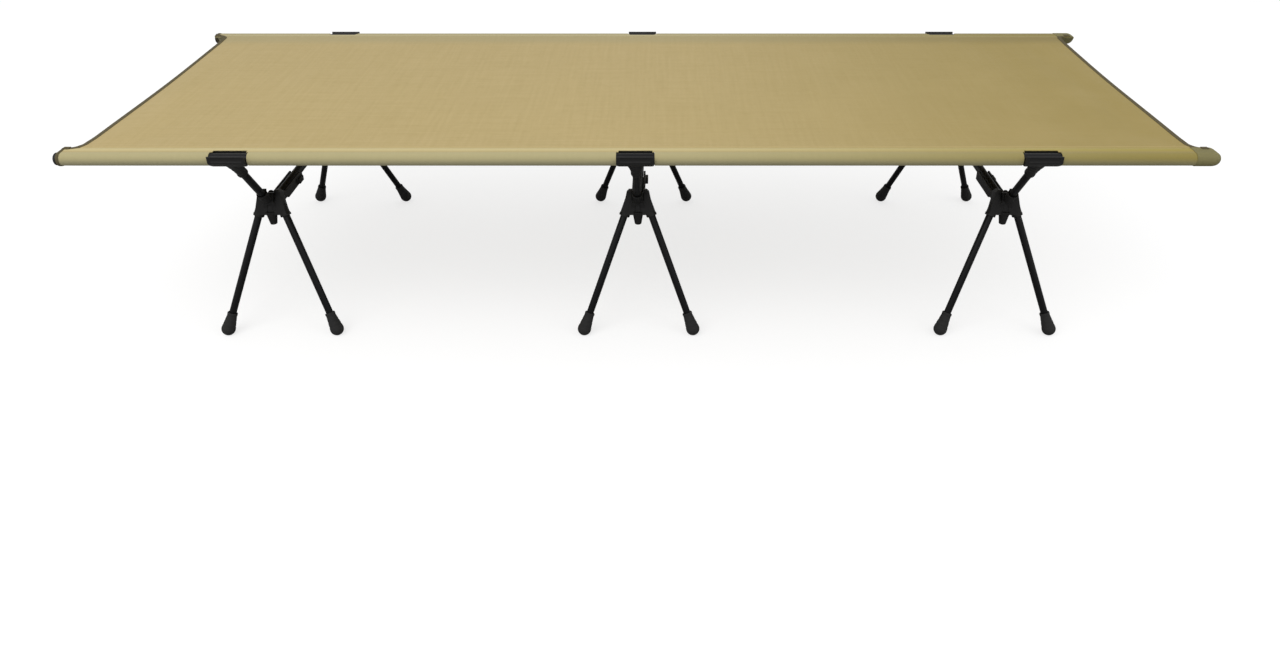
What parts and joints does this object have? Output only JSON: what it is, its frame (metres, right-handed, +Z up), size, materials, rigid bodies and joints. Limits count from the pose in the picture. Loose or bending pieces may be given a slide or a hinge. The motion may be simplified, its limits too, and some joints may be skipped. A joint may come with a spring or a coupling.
{
  "type": "camping cot",
  "caption": "Lightweight take-down camping cot: tan fabric bed on side poles, cross poles with tension levers and splayed plug-in legs.",
  "frame": {"origin": "on the floor, under the middle of the bed", "axes": "+X along the bed towards the closed sleeve ends, +Y towards the back side, +Z up"},
  "size_m": [1.9, 0.692, 0.384],
  "materials": {
    "fabric": "matt woven tan polyester",
    "black_tube": "black anodised aluminium, satin",
    "black_moulding": "black moulded nylon, satin",
    "black_rubber": "black, matt",
    "dark_steel": "dark, satin"
  },
  "bodies": {
    "middle_leg_set": {"middle_cross_pole": "black_tube", "middle_hinge_pin": "dark_steel", "middle_front_hub": "black_moulding", "middle_back_hub": "black_moulding", "middle_back_clip": "black_moulding", "middle_back_arm": "black_tube"},
    "bed": {"bed_fabric": "fabric"},
    "front_pole": {"front_pole_left_tube": "black_tube", "front_pole_middle_tube": "black_tube", "front_pole_right_tube": "black_tube", "front_pole_end_cap": "black_moulding"},
    "back_pole": {"back_pole_left_tube": "black_tube", "back_pole_middle_tube": "black_tube", "back_pole_right_tube": "black_tube", "back_pole_end_cap": "black_moulding"},
    "left_leg_set": {"left_cross_pole": "black_tube", "left_hinge_pin": "dark_steel", "left_front_hub": "black_moulding", "left_back_hub": "black_moulding", "left_back_clip": "black_moulding", "left_back_arm": "black_tube"},
    "right_leg_set": {"right_cross_pole": "black_tube", "right_hinge_pin": "dark_steel", "right_front_hub": "black_moulding", "right_back_hub": "black_moulding", "right_back_clip": "black_moulding", "right_back_arm": "black_tube"},
    "left_lever": {"left_tension_lever": "black_moulding", "left_front_arm": "black_tube", "left_front_clip": "black_moulding"},
    "middle_lever": {"middle_tension_lever": "black_moulding", "middle_front_arm": "black_tube", "middle_front_clip": "black_moulding"},
    "right_lever": {"right_tension_lever": "black_moulding", "right_front_arm": "black_tube", "right_front_clip": "black_moulding"},
    "left_front_leg_1": {"left_front_leg_1": "black_tube", "left_front_foot_1": "black_rubber"},
    "left_front_leg_2": {"left_front_leg_2": "black_tube", "left_front_foot_2": "black_rubber"},
    "left_back_leg_1": {"left_back_leg_1": "black_tube", "left_back_foot_1": "black_rubber"},
    "left_back_leg_2": {"left_back_leg_2": "black_tube", "left_back_foot_2": "black_rubber"},
    "middle_front_leg_1": {"middle_front_leg_1": "black_tube", "middle_front_foot_1": "black_rubber"},
    "middle_front_leg_2": {"middle_front_leg_2": "black_tube", "middle_front_foot_2": "black_rubber"},
    "middle_back_leg_1": {"middle_back_leg_1": "black_tube", "middle_back_foot_1": "black_rubber"},
    "middle_back_leg_2": {"middle_back_leg_2": "black_tube", "middle_back_foot_2": "black_rubber"},
    "right_front_leg_1": {"right_front_leg_1": "black_tube", "right_front_foot_1": "black_rubber"},
    "right_front_leg_2": {"right_front_leg_2": "black_tube", "right_front_foot_2": "black_rubber"},
    "right_back_leg_1": {"right_back_leg_1": "black_tube", "right_back_foot_1": "black_rubber"},
    "right_back_leg_2": {"right_back_leg_2": "black_tube", "right_back_foot_2": "black_rubber"}
  },
  "joints": [
    {"name": "bed_lift", "type": "hinge", "parent": "middle_leg_set", "child": "bed", "pos_m": [0, 0.329, 0.373], "axis": [-1, 0, 0], "range_deg": [0, 72]},
    {"name": "left_set_swing", "type": "hinge", "parent": "bed", "child": "left_leg_set", "pos_m": [-0.657, 0.329, 0.373], "axis": [-1, 0, 0], "range_deg": [-72, 0]},
    {"name": "right_set_swing", "type": "hinge", "parent": "bed", "child": "right_leg_set", "pos_m": [0.657, 0.329, 0.373], "axis": [-1, 0, 0], "range_deg": [-72, 0]},
    {"name": "left_lever_fold", "type": "hinge", "parent": "left_leg_set", "child": "left_lever", "pos_m": [-0.657, -0.186, 0.234], "axis": [-1, 0, 0], "range_deg": [0, 90]},
    {"name": "middle_lever_fold", "type": "hinge", "parent": "middle_leg_set", "child": "middle_lever", "pos_m": [0, -0.186, 0.234], "axis": [-1, 0, 0], "range_deg": [0, 90]},
    {"name": "right_lever_fold", "type": "hinge", "parent": "right_leg_set", "child": "right_lever", "pos_m": [0.657, -0.186, 0.234], "axis": [-1, 0, 0], "range_deg": [0, 90]},
    {"name": "front_pole_slide", "type": "slide", "parent": "bed", "child": "front_pole", "axis": [-1, 0, 0], "range_m": [0, 1.84]},
    {"name": "back_pole_slide", "type": "slide", "parent": "bed", "child": "back_pole", "axis": [-1, 0, 0], "range_m": [0, 1.84]},
    {"name": "left_front_leg_1_pull", "type": "slide", "parent": "left_leg_set", "child": "left_front_leg_1", "axis": [-0.3347, -0.2678, -0.9035], "range_m": [0, 0.035]},
    {"name": "left_front_leg_2_pull", "type": "slide", "parent": "left_leg_set", "child": "left_front_leg_2", "axis": [0.3347, -0.2678, -0.9035], "range_m": [0, 0.035]},
    {"name": "left_back_leg_1_pull", "type": "slide", "parent": "left_leg_set", "child": "left_back_leg_1", "axis": [0.3347, 0.2678, -0.9035], "range_m": [0, 0.035]},
    {"name": "left_back_leg_2_pull", "type": "slide", "parent": "left_leg_set", "child": "left_back_leg_2", "axis": [-0.3347, 0.2678, -0.9035], "range_m": [0, 0.035]},
    {"name": "middle_front_leg_1_pull", "type": "slide", "parent": "middle_leg_set", "child": "middle_front_leg_1", "axis": [-0.3347, -0.2678, -0.9035], "range_m": [0, 0.035]},
    {"name": "middle_front_leg_2_pull", "type": "slide", "parent": "middle_leg_set", "child": "middle_front_leg_2", "axis": [0.3347, -0.2678, -0.9035], "range_m": [0, 0.035]},
    {"name": "middle_back_leg_1_pull", "type": "slide", "parent": "middle_leg_set", "child": "middle_back_leg_1", "axis": [0.3347, 0.2678, -0.9035], "range_m": [0, 0.035]},
    {"name": "middle_back_leg_2_pull", "type": "slide", "parent": "middle_leg_set", "child": "middle_back_leg_2", "axis": [-0.3347, 0.2678, -0.9035], "range_m": [0, 0.035]},
    {"name": "right_front_leg_1_pull", "type": "slide", "parent": "right_leg_set", "child": "right_front_leg_1", "axis": [-0.3347, -0.2678, -0.9035], "range_m": [0, 0.035]},
    {"name": "right_front_leg_2_pull", "type": "slide", "parent": "right_leg_set", "child": "right_front_leg_2", "axis": [0.3347, -0.2678, -0.9035], "range_m": [0, 0.035]},
    {"name": "right_back_leg_1_pull", "type": "slide", "parent": "right_leg_set", "child": "right_back_leg_1", "axis": [0.3347, 0.2678, -0.9035], "range_m": [0, 0.035]},
    {"name": "right_back_leg_2_pull", "type": "slide", "parent": "right_leg_set", "child": "right_back_leg_2", "axis": [-0.3347, 0.2678, -0.9035], "range_m": [0, 0.035]}
  ],
  "couplings": [
    {"joint": "left_set_swing", "follows": "bed_lift", "ratio": -1},
    {"joint": "right_set_swing", "follows": "bed_lift", "ratio": -1},
    {"joint": "left_lever_fold", "follows": "bed_lift", "ratio": 1.25},
    {"joint": "middle_lever_fold", "follows": "bed_lift", "ratio": 1.25},
    {"joint": "right_lever_fold", "follows": "bed_lift", "ratio": 1.25}
  ]
}
